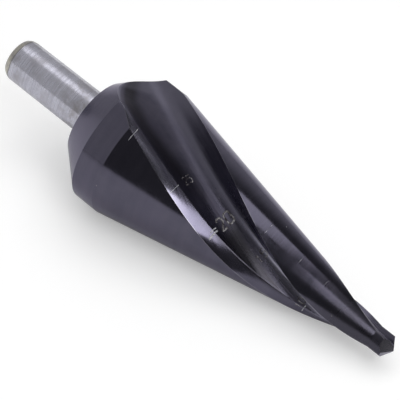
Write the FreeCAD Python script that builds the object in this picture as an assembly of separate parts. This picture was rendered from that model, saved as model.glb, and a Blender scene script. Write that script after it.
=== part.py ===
import FreeCAD, Part
import math
import os

# Conical sheet drill, turned and ground from one bar of high-speed steel.
# It is modelled point upward along Z from the shank's end at Z = 0, and then
# laid on its cone, as it comes to rest on a table, with the surface at Z = 0.
# Lengths are millimetres and angles are degrees.

# Shank with a crowned chamfer and three flats for a three-jaw chuck
SHANK_DIAMETER = 10.0
SHANK_LENGTH = 23.5
SHANK_CHAMFER_LENGTH = 1.3
SHANK_CHAMFER_WIDTH = 0.6
SHANK_CHAMFER_CROWN = 0.06
FLAT_COUNT = 3
FLAT_WIDTH = 3.2
FLAT_TURN = 43.5

# Head: rear chamfer, short cylinder, long cone and a short pilot that ends in the point
SHOULDER_DIAMETER = 18.6
HEAD_DIAMETER = 31.0
REAR_CHAMFER_LENGTH = 7.2
CYLINDER_LENGTH = 5.6
CONE_LENGTH = 62.2
PILOT_DIAMETER = 5.0
PILOT_LENGTH = 3.2
NECK_FILLET = 0.6

# Two right-hand flutes, whose lead shortens from the cone's start to the point
FLUTE_COUNT = 2
FLUTE_WIDTH_ANGLE = 70.0
EDGE_ANGLE_AT_CONE_START = -75.3
LEAD_AT_CONE_START = 273.0
LEAD_AT_POINT = 88.5
CORE_DIAMETER_AT_SHOULDER = 17.6
CORE_DIAMETER_AT_POINT = 1.9
ROOT_SHARE_AT_CONE_START = 0.32
ROOT_SHARE_AT_PILOT = 0.16
WALL_RADIUS_SHARE = 0.95

# Run-out: over this length ahead of the shoulder, the flutes rise on an arc above
# their straight core, and leave the head through its rear chamfer
RUN_OUT_LENGTH = 39.0
RUN_OUT_RADIUS = 184.0

# Rounded heel between each flute and the land behind it
HEEL_ANGLE_AT_CONE_START = 7.0
HEEL_ANGLE_AT_PILOT = 27.0
HEEL_SLOPE = 30.0
HEEL_ROUNDING = 10.0
HEEL_OVERRUN_SHARE = 0.12

# Ground point: two flat facets behind each lip, all four through the tip. A facet
# falls steepest at its turn behind the lip, and slopes are measured from the axis.
LIP_SLOPE = 59.0
LIP_FACET_TURN = 25.0
HEEL_FACET_TURN = 99.3
HEEL_FACET_SLOPE = 43.2

# How closely the flute cutters are stepped along the head
SECTION_COUNT = 26
CUTTER_OVERRUN = 3.0

# Search for the way the drill comes to rest on a table
REST_MESH_TOLERANCE = 0.02
REST_SEARCH_START = 4.0
REST_SEARCH_END = 0.002
REST_SEARCH_WAYS = 12

ORIGIN = FreeCAD.Vector(0, 0, 0)
Y_AXIS = FreeCAD.Vector(0, 1, 0)
Z_AXIS = FreeCAD.Vector(0, 0, 1)
SHANK_RADIUS = SHANK_DIAMETER / 2
HEAD_RADIUS = HEAD_DIAMETER / 2
PILOT_RADIUS = PILOT_DIAMETER / 2
Z_SHOULDER = SHANK_LENGTH
Z_CYLINDER = Z_SHOULDER + REAR_CHAMFER_LENGTH
Z_CONE = Z_CYLINDER + CYLINDER_LENGTH
Z_PILOT = Z_CONE + CONE_LENGTH
Z_POINT = Z_PILOT + PILOT_LENGTH
POINT_LENGTH = PILOT_RADIUS / math.tan(math.radians(LIP_SLOPE))
Z_TIP = Z_POINT + POINT_LENGTH


def mix(start, end, share):
    """Straight blend from start to end."""
    return start + (end - start) * share


def cone_share(z):
    """Place along the cone: 0 where it starts, 1 where the pilot starts."""
    return (z - Z_CONE) / CONE_LENGTH


def form_radius(z):
    """Radius that the flutes follow: the cone, carried on to the rear, and the pilot."""
    return max(mix(HEAD_RADIUS, PILOT_RADIUS, cone_share(z)), PILOT_RADIUS)


def edge_angle(z):
    """Angle of the first cutting edge about the axis at height z."""
    run = z - Z_CONE
    twist = 360 / LEAD_AT_CONE_START
    growth = (360 / LEAD_AT_POINT - twist) / (Z_POINT - Z_CONE)
    return EDGE_ANGLE_AT_CONE_START + twist * run + growth * run * run / 2


def run_out_rise(z):
    """How far the run-out lifts the flute's root at height z."""
    run = max(Z_SHOULDER + RUN_OUT_LENGTH - z, 0)
    return run * run / (2 * RUN_OUT_RADIUS)


def core_radius(z):
    """Distance from the axis to the flute's root at height z."""
    share = (z - Z_SHOULDER) / (Z_POINT - Z_SHOULDER)
    straight = mix(CORE_DIAMETER_AT_SHOULDER, CORE_DIAMETER_AT_POINT, share) / 2
    return straight + run_out_rise(z)


def polar(radius, angle):
    """Flat vector at a radius and an angle in degrees."""
    turn = math.radians(angle)
    return FreeCAD.Vector(radius * math.cos(turn), radius * math.sin(turn), 0)


def wall_centre(root_centre, root_radius, wall_radius, heel_foot):
    """Centre of the wall arc: it touches the root arc from outside and ends at heel_foot."""
    near = wall_radius - root_radius
    span = heel_foot - root_centre
    distance = span.Length
    along = (near ** 2 - wall_radius ** 2 + distance ** 2) / (2 * distance)
    aside = math.sqrt(max(near ** 2 - along ** 2, 0.0))
    direction = span / distance
    normal = FreeCAD.Vector(direction.y, -direction.x, 0)
    return root_centre + direction * along + normal * aside


def flute_wire(z):
    """Closed outline of the flute's space at height z, turned to its place on the helix."""
    radius = form_radius(z)
    core = core_radius(z)
    root = mix(ROOT_SHARE_AT_CONE_START, ROOT_SHARE_AT_PILOT, cone_share(z)) * radius
    reach = radius + CUTTER_OVERRUN

    root_x = math.sqrt((core + root) ** 2 - root ** 2)
    root_centre = FreeCAD.Vector(root_x, root, 0)
    face_foot = FreeCAD.Vector(root_x, 0, 0)
    face_top = FreeCAD.Vector(reach, 0, 0)

    heel_angle = mix(HEEL_ANGLE_AT_CONE_START, HEEL_ANGLE_AT_PILOT, cone_share(z))
    heel_width = radius * math.radians(heel_angle)
    heel_drop = heel_width * math.tan(math.radians(HEEL_SLOPE))
    heel_top = polar(radius, FLUTE_WIDTH_ANGLE)
    heel_foot = polar(radius - heel_drop, FLUTE_WIDTH_ANGLE - heel_angle)
    rise = heel_top - heel_foot
    rise_angle = math.degrees(math.atan2(rise.y, rise.x))
    heel_end = heel_top + polar(HEEL_OVERRUN_SHARE * radius, rise_angle + HEEL_ROUNDING)

    wall = WALL_RADIUS_SHARE * radius
    centre = wall_centre(root_centre, root, wall, heel_foot)
    inward = (root_centre - centre).normalize()
    wall_foot = root_centre + inward * root
    root_middle = root_centre + (inward + polar(1, 270)).normalize() * root
    wall_middle = centre + ((wall_foot + heel_foot) / 2 - centre).normalize() * wall
    far = polar(reach + CUTTER_OVERRUN, FLUTE_WIDTH_ANGLE / 2)

    edges = [
        Part.LineSegment(face_top, face_foot),
        Part.Arc(face_foot, root_middle, wall_foot),
        Part.Arc(wall_foot, wall_middle, heel_foot),
        Part.Arc(heel_foot, heel_top, heel_end),
        Part.LineSegment(heel_end, far),
        Part.LineSegment(far, face_top),
    ]
    wire = Part.Wire([edge.toShape() for edge in edges])
    wire.rotate(ORIGIN, Z_AXIS, edge_angle(z))
    wire.translate(FreeCAD.Vector(0, 0, z))
    return wire


def turned_about_axis(shape, count, number):
    """Copy of a shape, turned to one of count even places about the drill's axis."""
    copy = shape.copy()
    copy.rotate(ORIGIN, Z_AXIS, 360.0 * number / count)
    return copy


def crowned_chamfer():
    """Slightly bulged chamfer at the shank's end, from the end face to the side."""
    foot = FreeCAD.Vector(SHANK_RADIUS - SHANK_CHAMFER_WIDTH, 0, 0)
    top = FreeCAD.Vector(SHANK_RADIUS, 0, SHANK_CHAMFER_LENGTH)
    outward = FreeCAD.Vector(SHANK_CHAMFER_LENGTH, 0, -SHANK_CHAMFER_WIDTH).normalize()
    return Part.Arc(foot, (foot + top) / 2 + outward * SHANK_CHAMFER_CROWN, top)


def neck_fillet():
    """Hollow corner where the shank's side meets the shoulder's face."""
    centre = FreeCAD.Vector(SHANK_RADIUS + NECK_FILLET, 0, Z_SHOULDER - NECK_FILLET)
    inward = FreeCAD.Vector(-1, 0, 1).normalize()
    foot = centre - FreeCAD.Vector(NECK_FILLET, 0, 0)
    top = centre + FreeCAD.Vector(0, 0, NECK_FILLET)
    return Part.Arc(foot, centre + inward * NECK_FILLET, top)


def turned_blank():
    """The whole drill before grinding: shank, head and pilot, up to the tip's height."""
    chamfer = crowned_chamfer()
    fillet = neck_fillet()
    corners = [
        fillet.EndPoint,
        FreeCAD.Vector(SHOULDER_DIAMETER / 2, 0, Z_SHOULDER),
        FreeCAD.Vector(HEAD_RADIUS, 0, Z_CYLINDER),
        FreeCAD.Vector(HEAD_RADIUS, 0, Z_CONE),
        FreeCAD.Vector(PILOT_RADIUS, 0, Z_PILOT),
        FreeCAD.Vector(PILOT_RADIUS, 0, Z_TIP),
        FreeCAD.Vector(0, 0, Z_TIP),
        ORIGIN,
        chamfer.StartPoint,
    ]
    edges = [chamfer, Part.LineSegment(chamfer.EndPoint, fillet.StartPoint), fillet]
    edges += [Part.LineSegment(*pair) for pair in zip(corners, corners[1:])]
    outline = Part.Wire([edge.toShape() for edge in edges])
    return Part.Face(outline).revolve(ORIGIN, Z_AXIS, 360)


def shank_flat_cutter():
    """Block that grinds one flat along the shank, up to the shoulder."""
    distance = math.sqrt(SHANK_RADIUS ** 2 - (FLAT_WIDTH / 2) ** 2)
    length = Z_SHOULDER - NECK_FILLET + CUTTER_OVERRUN
    corner = FreeCAD.Vector(distance, -SHANK_RADIUS, -CUTTER_OVERRUN)
    block = Part.makeBox(SHANK_RADIUS, SHANK_DIAMETER, length, corner)
    block.rotate(ORIGIN, Z_AXIS, FLAT_TURN)
    return block


def flute_cutter():
    """Space of one flute, from below the shoulder to above the tip."""
    start = Z_SHOULDER - CUTTER_OVERRUN
    end = Z_TIP + CUTTER_OVERRUN
    wires = []
    for number in range(SECTION_COUNT):
        wires.append(flute_wire(mix(start, end, number / (SECTION_COUNT - 1))))
    return Part.makeLoft(wires, True, False)


def facet_cutter(turn_behind_lip, depth_per_radius):
    """What is ground off above one flat facet, which falls steepest behind the lip."""
    reach = 2 * (PILOT_DIAMETER + CUTTER_OVERRUN)
    block = Part.makeBox(2 * reach, 2 * reach, reach, FreeCAD.Vector(-reach, -reach, 0))
    block.rotate(ORIGIN, Y_AXIS, math.degrees(math.atan(depth_per_radius)))
    block.rotate(ORIGIN, Z_AXIS, edge_angle(Z_POINT) - turn_behind_lip)
    block.translate(FreeCAD.Vector(0, 0, Z_TIP))
    return block


def lip_facet_cutter():
    """Facet that holds the lip and runs back from it with a small relief."""
    at_lip = POINT_LENGTH / PILOT_RADIUS
    steepest = at_lip / math.cos(math.radians(LIP_FACET_TURN))
    return facet_cutter(LIP_FACET_TURN, steepest)


def heel_facet_cutter():
    """Steeper facet that clears the heel of the land."""
    return facet_cutter(HEEL_FACET_TURN, 1 / math.tan(math.radians(HEEL_FACET_SLOPE)))


def cone_drill():
    """The finished drill as one solid, point upward."""
    drill = turned_blank()
    for number in range(FLAT_COUNT):
        drill = drill.cut(turned_about_axis(shank_flat_cutter(), FLAT_COUNT, number))
    for number in range(FLUTE_COUNT):
        drill = drill.cut(turned_about_axis(flute_cutter(), FLUTE_COUNT, number))
    for number in range(FLUTE_COUNT):
        drill = drill.cut(turned_about_axis(lip_facet_cutter(), FLUTE_COUNT, number))
        drill = drill.cut(turned_about_axis(heel_facet_cutter(), FLUTE_COUNT, number))
    return drill.Solids[0] if len(drill.Solids) == 1 else drill


def down_direction(turn, dip):
    """Direction in the upright drill that points at the table."""
    down = polar(math.cos(math.radians(dip)), turn)
    down.z = math.sin(math.radians(dip))
    return down


def rest_height(turn, dip, points, centre):
    """Height of the centre of mass over the table, when the drill lies that way."""
    down = down_direction(turn, dip)
    return max(down.dot(point) for point in points) - down.dot(centre)


def resting_pose(points, centre):
    """Turn and dip at which the drill lies with a flute down and its centre lowest."""
    turn = edge_angle(centre.z) + 180 + FLUTE_WIDTH_ANGLE / 2
    dip = math.degrees(math.atan((HEAD_RADIUS - PILOT_RADIUS) / CONE_LENGTH))
    best = rest_height(turn, dip, points, centre)
    step = REST_SEARCH_START
    while step > REST_SEARCH_END:
        tries = []
        for number in range(REST_SEARCH_WAYS):
            way = polar(step, 360.0 * number / REST_SEARCH_WAYS)
            tries.append((rest_height(turn + way.x, dip + way.y, points, centre), way))
        lowest, way = min(tries, key=lambda entry: entry[0])
        if lowest < best:
            best, turn, dip = lowest, turn + way.x, dip + way.y
        else:
            step /= 2
    return turn, dip


def laid_at_rest(drill):
    """The drill lying on the table, point toward +X, centred over the origin."""
    points = drill.tessellate(REST_MESH_TOLERANCE)[0]
    turn, dip = resting_pose(points, drill.CenterOfMass)
    up = down_direction(turn, dip) * -1
    forward = (Z_AXIS - up * up.dot(Z_AXIS)).normalize()
    left = up.cross(forward)
    matrix = FreeCAD.Matrix(
        forward.x, forward.y, forward.z, 0,
        left.x, left.y, left.z, 0,
        up.x, up.y, up.z, 0,
        0, 0, 0, 1,
    )
    laid = drill.transformed(matrix, True)
    corners = [matrix.multVec(point) for point in points]
    xs, ys, zs = zip(*[(corner.x, corner.y, corner.z) for corner in corners])
    laid.translate(FreeCAD.Vector(-(min(xs) + max(xs)) / 2, -(min(ys) + max(ys)) / 2, -min(zs)))
    print("turn", round(turn, 3), "dip", round(dip, 3))
    return laid


def main():
    os.makedirs("parts", exist_ok=True)
    drill = laid_at_rest(cone_drill())
    print("valid", drill.isValid(), "solids", len(drill.Solids), "volume", round(drill.Volume, 1))
    drill.exportStep("parts/cone_drill.step")


main()
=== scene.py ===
"""Cone drill lying on a pale table: the dressed drill, its scale marks, light and camera."""
import logging
import math
from dataclasses import dataclass
from enum import Enum

import bpy
import numpy as np
from mathutils import Euler, Matrix, Vector


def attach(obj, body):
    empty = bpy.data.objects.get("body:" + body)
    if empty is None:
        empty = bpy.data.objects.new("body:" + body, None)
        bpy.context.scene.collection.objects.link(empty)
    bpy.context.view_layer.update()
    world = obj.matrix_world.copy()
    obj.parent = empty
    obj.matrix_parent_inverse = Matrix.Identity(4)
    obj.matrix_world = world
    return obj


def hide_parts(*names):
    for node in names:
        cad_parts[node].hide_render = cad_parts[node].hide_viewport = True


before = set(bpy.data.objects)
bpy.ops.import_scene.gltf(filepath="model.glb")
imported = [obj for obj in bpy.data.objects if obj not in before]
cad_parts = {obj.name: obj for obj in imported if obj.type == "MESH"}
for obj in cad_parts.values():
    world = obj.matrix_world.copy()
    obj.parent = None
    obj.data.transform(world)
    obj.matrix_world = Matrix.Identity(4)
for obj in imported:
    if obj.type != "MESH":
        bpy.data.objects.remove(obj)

Colour = tuple[float, float, float]
Span = tuple[float, float]
Socket = bpy.types.NodeSocket

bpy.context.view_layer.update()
MM = 0.001
WHITE = (1.0, 1.0, 1.0, 1.0)
log = logging.getLogger("cone_drill")


def polar(radius: float, degrees: float) -> np.ndarray:
    """Flat point at a radius and an angle in degrees."""
    turn = math.radians(degrees)
    return np.array([radius * math.cos(turn), radius * math.sin(turn)])


def mix(start: float, end: float, share: float) -> float:
    """Straight blend from start to end."""
    return start + (end - start) * share


def compass(angle: np.ndarray) -> np.ndarray:
    """Flat unit vectors at angles in radians."""
    return np.stack([np.cos(angle), np.sin(angle)], axis=-1)


def bearing(flat: np.ndarray) -> float:
    """Angle of a flat vector in radians."""
    return math.atan2(flat[1], flat[0])


def bearings(points: np.ndarray) -> np.ndarray:
    """Angles of points about the axis in radians."""
    return np.arctan2(points[..., 1], points[..., 0])


def closed(grid: np.ndarray) -> np.ndarray:
    """Rows with their first column again at the end."""
    return np.concatenate([grid, grid[:, :1]], axis=1)


def spin(degrees: float) -> np.ndarray:
    """Matrix that turns rows of flat points about the axis."""
    turn = math.radians(degrees)
    return np.array([[math.cos(turn), math.sin(turn)], [-math.sin(turn), math.cos(turn)]])


def place_object(name: str, data: bpy.types.ID) -> bpy.types.Object:
    """Makes an object of a mesh, a lamp or a camera, and links it to the scene.

    Args:
        name: The object's name.
        data: What the object shows.

    Returns:
        The new object.
    """
    item = bpy.data.objects.new(name, data)
    bpy.context.scene.collection.objects.link(item)
    return item


def circle_through(
    first: np.ndarray, second: np.ndarray, third: np.ndarray
) -> tuple[np.ndarray, float]:
    """Circle through three flat points.

    Args:
        first, second, third: The points.

    Returns:
        The circle's centre and its radius.
    """
    rows = 2 * np.array([second - first, third - first])
    sums = np.array([second @ second - first @ first, third @ third - first @ first])
    centre = np.linalg.solve(rows, sums)
    return centre, float(np.hypot(*(first - centre)))


@dataclass(frozen=True)
class RestPose:
    """How the upright drill is turned to lie on the table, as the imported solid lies."""

    turn: float = 143.988
    dip: float = 7.595
    end_centre: tuple[float, float, float] = (-50.858, 0.0, 18.677)

    def axes(self) -> np.ndarray:
        """Works out how the table's directions lie in the upright drill.

        Returns:
            The table's X, Y and Z directions, one in each row.
        """
        flat = polar(math.cos(math.radians(self.dip)), self.turn)
        up = -np.array([flat[0], flat[1], math.sin(math.radians(self.dip))])
        forward = np.array([0.0, 0.0, 1.0]) - up * up[2]
        forward /= np.linalg.norm(forward)
        return np.stack([forward, np.cross(up, forward), up])

    def lay(self, points: np.ndarray) -> np.ndarray:
        """Moves points of the upright drill, in millimetres, to the table, in metres."""
        return (points @ self.axes().T + np.array(self.end_centre)) * MM


@dataclass(frozen=True)
class Arc:
    """One arc of a flute's outline, followed by its length."""

    centre: np.ndarray
    radius: float
    start: float
    sweep: float

    @property
    def length(self) -> float:
        """Length of the arc."""
        return abs(self.sweep) * self.radius

    def point(self, run: np.ndarray) -> np.ndarray:
        """Points at distances along the arc."""
        angle = self.start + np.sign(self.sweep) * run / self.radius
        return self.centre + self.radius * compass(angle)


@dataclass(frozen=True)
class HeadForm:
    """Sizes of the drill's head in millimetres and degrees, as in the solid."""

    shoulder_radius: float = 9.3
    head_radius: float = 15.5
    pilot_radius: float = 2.5
    z_shoulder: float = 23.5
    z_cylinder: float = 30.7
    z_cone: float = 36.3
    z_pilot: float = 98.5
    z_point: float = 101.7
    flute_width: float = 70.0
    edge_at_cone: float = -75.3
    lead_at_cone: float = 273.0
    lead_at_point: float = 88.5
    core_at_shoulder: float = 8.8
    core_at_point: float = 0.95
    run_out_length: float = 39.0
    run_out_radius: float = 184.0
    root_at_cone: float = 0.32
    root_at_pilot: float = 0.16
    wall_share: float = 0.95
    heel_at_cone: float = 7.0
    heel_at_pilot: float = 27.0
    heel_slope: float = 30.0
    heel_rounding: float = 10.0
    heel_overrun: float = 0.12
    lip_slope: float = 59.0
    lip_facet_turn: float = 25.0
    heel_facet_turn: float = 99.3
    heel_facet_slope: float = 43.2

    @property
    def z_tip(self) -> float:
        """Height of the very tip."""
        return self.z_point + self.pilot_radius / math.tan(math.radians(self.lip_slope))

    def share(self, z: float) -> float:
        """Place along the cone: 0 where it starts, 1 where the pilot starts."""
        return (z - self.z_cone) / (self.z_pilot - self.z_cone)

    def form_radius(self, z: float) -> float:
        """Radius that the flutes follow at height z."""
        return max(mix(self.head_radius, self.pilot_radius, self.share(z)), self.pilot_radius)

    def blank_radius(self, z: float) -> float:
        """Works out the turned head before the flutes are cut.

        Args:
            z: The height.

        Returns:
            Its radius at that height.
        """
        rise = (z - self.z_shoulder) / (self.z_cylinder - self.z_shoulder)
        chamfer = mix(self.shoulder_radius, self.head_radius, rise)
        return min(chamfer, self.head_radius, self.form_radius(z))

    def edge_angle(self, z: float) -> float:
        """Follows the first cutting edge round the drill.

        Args:
            z: The height.

        Returns:
            The edge's angle in degrees.
        """
        run = z - self.z_cone
        twist = 360 / self.lead_at_cone
        growth = (360 / self.lead_at_point - twist) / (self.z_point - self.z_cone)
        return self.edge_at_cone + twist * run + growth * run * run / 2

    def core_radius(self, z: float) -> float:
        """Follows the flute's root, which narrows forward and runs out behind.

        Args:
            z: The height.

        Returns:
            The root's distance from the axis.
        """
        share = (z - self.z_shoulder) / (self.z_point - self.z_shoulder)
        run = max(self.z_shoulder + self.run_out_length - z, 0.0)
        rise = run * run / (2 * self.run_out_radius)
        return mix(self.core_at_shoulder, self.core_at_point, share) + rise

    def facet_depths(self, angle: np.ndarray) -> np.ndarray:
        """Works out how the four facets of the ground point fall away from the tip.

        Args:
            angle: Angles about the axis in degrees.

        Returns:
            Each facet's depth per millimetre of radius, one facet in each row.
        """
        lip = (self.z_tip - self.z_point) / self.pilot_radius
        steepest = {
            self.lip_facet_turn: lip / math.cos(math.radians(self.lip_facet_turn)),
            self.heel_facet_turn: 1 / math.tan(math.radians(self.heel_facet_slope)),
        }
        depths = []
        for half in (0.0, 180.0):
            for turn, slope in steepest.items():
                fall = self.edge_angle(self.z_point) - turn + half
                depths.append(slope * np.cos(np.radians(angle - fall)))
        return np.stack(depths)


class FluteOutline:
    """Outline of one flute at one height: face line, root arc, wall arc and heel arc."""

    SAMPLES = 1500
    REACH = 1.3

    def __init__(self, form: HeadForm, z: float) -> None:
        """Works out the outline's arcs.

        Args:
            form: The head's sizes.
            z: The height of the section.
        """
        radius = form.form_radius(z)
        core = form.core_radius(z)
        root = mix(form.root_at_cone, form.root_at_pilot, form.share(z)) * radius
        root_centre = np.array([math.sqrt((core + root) ** 2 - root ** 2), root])

        heel_angle = mix(form.heel_at_cone, form.heel_at_pilot, form.share(z))
        drop = radius * math.radians(heel_angle) * math.tan(math.radians(form.heel_slope))
        top = polar(radius, form.flute_width)
        foot = polar(radius - drop, form.flute_width - heel_angle)
        rise = math.degrees(bearing(top - foot))
        end = top + polar(form.heel_overrun * radius, rise + form.heel_rounding)

        wall = form.wall_share * radius
        span = foot - root_centre
        distance = float(np.hypot(*span))
        near = wall - root
        along = (near ** 2 - wall ** 2 + distance ** 2) / (2 * distance)
        aside = math.sqrt(max(near ** 2 - along ** 2, 0.0))
        way = span / distance
        wall_centre = root_centre + way * along + np.array([way[1], -way[0]]) * aside
        inward = (root_centre - wall_centre) / near

        root_start = -math.pi / 2
        root_sweep = (bearing(inward) - root_start) % math.tau - math.tau
        self.root = Arc(root_centre, root, root_start, root_sweep)
        self.wall = self._arc(wall_centre, root_centre + inward * root, foot)
        heel_centre, _ = circle_through(foot, top, end)
        self.heel = self._arc(heel_centre, foot, end)
        self.reach = self.REACH * radius
        face = self.reach - root_centre[0]
        lengths = [face, self.root.length, self.wall.length, self.heel.length]
        self.knots = np.concatenate([[0.0], np.cumsum(lengths)])

    @staticmethod
    def _arc(centre: np.ndarray, start: np.ndarray, end: np.ndarray) -> Arc:
        """Draws the shorter arc between two points.

        Args:
            centre: The arc's centre.
            start, end: Its ends.

        Returns:
            The arc from start to end.
        """
        first = bearing(start - centre)
        sweep = (bearing(end - centre) - first + math.pi) % math.tau - math.pi
        return Arc(centre, float(np.hypot(*(start - centre))), first, sweep)

    def point(self, run: np.ndarray) -> np.ndarray:
        """Walks the outline, from outside the face to outside the heel.

        Args:
            run: Distances along the outline.

        Returns:
            The flat points there.
        """
        points = np.zeros(run.shape + (2,))
        points[..., 0] = self.reach - run
        for number, arc in enumerate((self.root, self.wall, self.heel)):
            start = self.knots[number + 1]
            beyond = run > start
            points[beyond] = arc.point(run[beyond] - start)
        return points

    def nearest(self, radius: float) -> tuple[float, float]:
        """Finds where the outline comes nearest to the axis.

        Args:
            radius: Radius of a circle about the axis.

        Returns:
            How far the outline stays outside the circle, and the angle in degrees.
        """
        points = self.point(np.linspace(0, self.knots[-1], self.SAMPLES))
        gaps = np.hypot(*points.T) - radius
        number = int(np.argmin(gaps))
        return float(gaps[number]), math.degrees(bearing(points[number]))

    def inside(self, radius: float) -> tuple[float, float]:
        """Finds the part of the outline inside a circle about the axis.

        Args:
            radius: The circle's radius.

        Returns:
            Distances along the outline at which it enters and leaves the circle.
        """
        run = np.linspace(0, self.knots[-1], self.SAMPLES)
        gap = np.hypot(*self.point(run).T) - radius
        within = np.flatnonzero(gap < 0)
        first, last = within[0], within[-1]
        enter = np.interp(0, [-gap[first - 1], -gap[first]], [run[first - 1], run[first]])
        leave = np.interp(0, [gap[last], gap[last + 1]], [run[last], run[last + 1]])
        return float(enter), float(leave)


@dataclass(frozen=True)
class HeadGrid:
    """Grid of points over the head: rows up the drill, columns once around it."""

    form: HeadForm = HeadForm()
    face_steps: int = 10
    root_steps: int = 14
    wall_steps: int = 34
    heel_steps: int = 12
    land_steps: int = 44
    least_step: float = 0.02
    least_cut: float = 0.002
    rear_rows: int = 4
    chamfer_rows: int = 20
    cylinder_rows: int = 12
    cone_rows: int = 170
    pilot_rows: int = 26
    z_even: float = 97.0
    halvings: int = 40
    point_samples: int = 90

    @property
    def flute_steps(self) -> int:
        """Columns across one flute."""
        return self.face_steps + self.root_steps + self.wall_steps + self.heel_steps

    @property
    def half(self) -> int:
        """Columns of one flute and one land."""
        return self.flute_steps + self.land_steps

    def flute_end(self) -> float:
        """Finds where the flutes run out on the rear chamfer.

        Returns:
            The height.
        """
        low, high = self.form.z_shoulder, self.form.z_cylinder
        for _ in range(self.halvings):
            middle = (low + high) / 2
            gap, _ = FluteOutline(self.form, middle).nearest(self.form.blank_radius(middle))
            low, high = (middle, high) if gap > 0 else (low, middle)
        return high

    def section(self, z: float) -> np.ndarray:
        """Points of one whole section, counted from the first cutting edge.

        Args:
            z: Height of the section.

        Returns:
            An array of flat points, one per column.
        """
        outline = FluteOutline(self.form, z)
        radius = self.form.blank_radius(z)
        gap, angle = outline.nearest(radius)
        if gap > -self.least_cut:
            flute = np.tile(polar(radius, angle), (self.flute_steps, 1))
            heel = edge = angle
        else:
            enter, leave = outline.inside(radius)
            flute = outline.point(self._flute_runs(outline, enter, leave))
            ends = outline.point(np.array([leave, enter]))
            heel, edge = np.degrees(bearings(ends))
        across = np.linspace(heel, edge + 180, self.land_steps, endpoint=False)
        half = np.concatenate([flute, radius * compass(np.radians(across))])
        return np.concatenate([half, -half]) @ spin(self.form.edge_angle(z))

    def _flute_runs(self, outline: FluteOutline, enter: float, leave: float) -> np.ndarray:
        """Distances along the outline of the flute's columns.

        Args:
            outline: The flute's outline.
            enter: Where the outline enters the blank.
            leave: Where it leaves the blank.

        Returns:
            Distances, spread between the outline's knots inside the blank.
        """
        steps = (self.face_steps, self.root_steps, self.wall_steps, self.heel_steps)
        least = min(self.least_step, (leave - enter) / (2 * self.flute_steps))
        knots = [enter, *outline.knots[1:4], leave]
        for number in range(1, 4):
            knots[number] = max(knots[number], knots[number - 1] + least * steps[number - 1])
        for number in range(3, 0, -1):
            knots[number] = min(knots[number], knots[number + 1] - least * steps[number])
        spans = zip(knots, knots[1:], steps)
        return np.concatenate([np.linspace(*span, endpoint=False) for span in spans])

    def notes(self, rows: np.ndarray) -> tuple[np.ndarray, np.ndarray]:
        """Places on the surface, for the finishes.

        Each note holds the distance from the nearest cutting edge, the height, the distance
        from the heel line, and 1 in the flute's floor or 0 on a land.

        Args:
            rows: The head's points.

        Returns:
            Notes of the flutes' columns and of the lands' columns, by row, half and column.
        """
        around = closed(rows)
        steps = np.linalg.norm(np.diff(around, axis=1), axis=2)
        share = np.ones(self.flute_steps + 1)
        share[-self.heel_steps - 1:] = np.linspace(1, 0, self.heel_steps + 1)
        flutes, lands = [], []
        for start in (0, self.half):
            middle, end = start + self.flute_steps, start + self.half
            for first, last, notes in ((start, middle, flutes), (middle, end, lands)):
                run = np.cumsum(steps[:, first:last], axis=1)
                run = np.concatenate([np.zeros((len(rows), 1)), run], axis=1)
                rest = run[:, -1:] - run
                height = around[:, first:last + 1, 2]
                if notes is flutes:
                    note = [run, height, -rest, np.broadcast_to(share, run.shape)]
                else:
                    note = [-rest, height, run, np.zeros_like(run)]
                notes.append(np.stack(note, axis=2))
        return np.stack(flutes, axis=1), np.stack(lands, axis=1)

    def rows(self) -> np.ndarray:
        """Works out the whole head.

        Returns:
            Its points in millimetres, as rows x columns x 3.
        """
        form = self.form
        end = self.flute_end()
        spread = np.linspace(0, 1, self.chamfer_rows, endpoint=False) ** 2
        heights = np.concatenate([
            np.linspace(form.z_shoulder, end, self.rear_rows, endpoint=False),
            end + (form.z_cylinder - end) * spread,
            np.linspace(form.z_cylinder, form.z_cone, self.cylinder_rows, endpoint=False),
            np.linspace(form.z_cone, self.z_even, self.cone_rows),
        ])
        even = [self._raised(self.section(z), z) for z in heights]
        return np.concatenate([np.stack(even), self._pilot()])

    @staticmethod
    def _raised(section: np.ndarray, z: float) -> np.ndarray:
        """Section points at their height."""
        return np.column_stack([section, np.full(len(section), z)])

    def _pilot(self) -> np.ndarray:
        """Fills in from the last even height up to the ground point, which slants.

        Returns:
            The rows' points, as rows x columns x 3.
        """
        heights = np.linspace(self.z_even, self.form.z_tip, self.point_samples)
        table = np.stack([self._raised(self.section(z), z) for z in heights])
        radius = np.hypot(table[..., 0], table[..., 1])
        facets = self.form.facet_depths(np.degrees(bearings(table)))
        depth = np.maximum(facets.max(axis=0), 0.0)
        over = table[..., 2] + radius * depth - self.form.z_tip
        columns = np.arange(table.shape[1])
        after = np.argmax(over > 0, axis=0)
        below, above = over[after - 1, columns], over[after, columns]
        top = after - 1 + below / (below - above)
        rows = []
        for share in np.linspace(0, 1, self.pilot_rows + 1)[1:]:
            place = top * share
            low = np.minimum(place.astype(int), len(heights) - 2)
            part = (place - low)[:, None]
            rows.append(table[low, columns] * (1 - part) + table[low + 1, columns] * part)
        return np.stack(rows)


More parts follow.
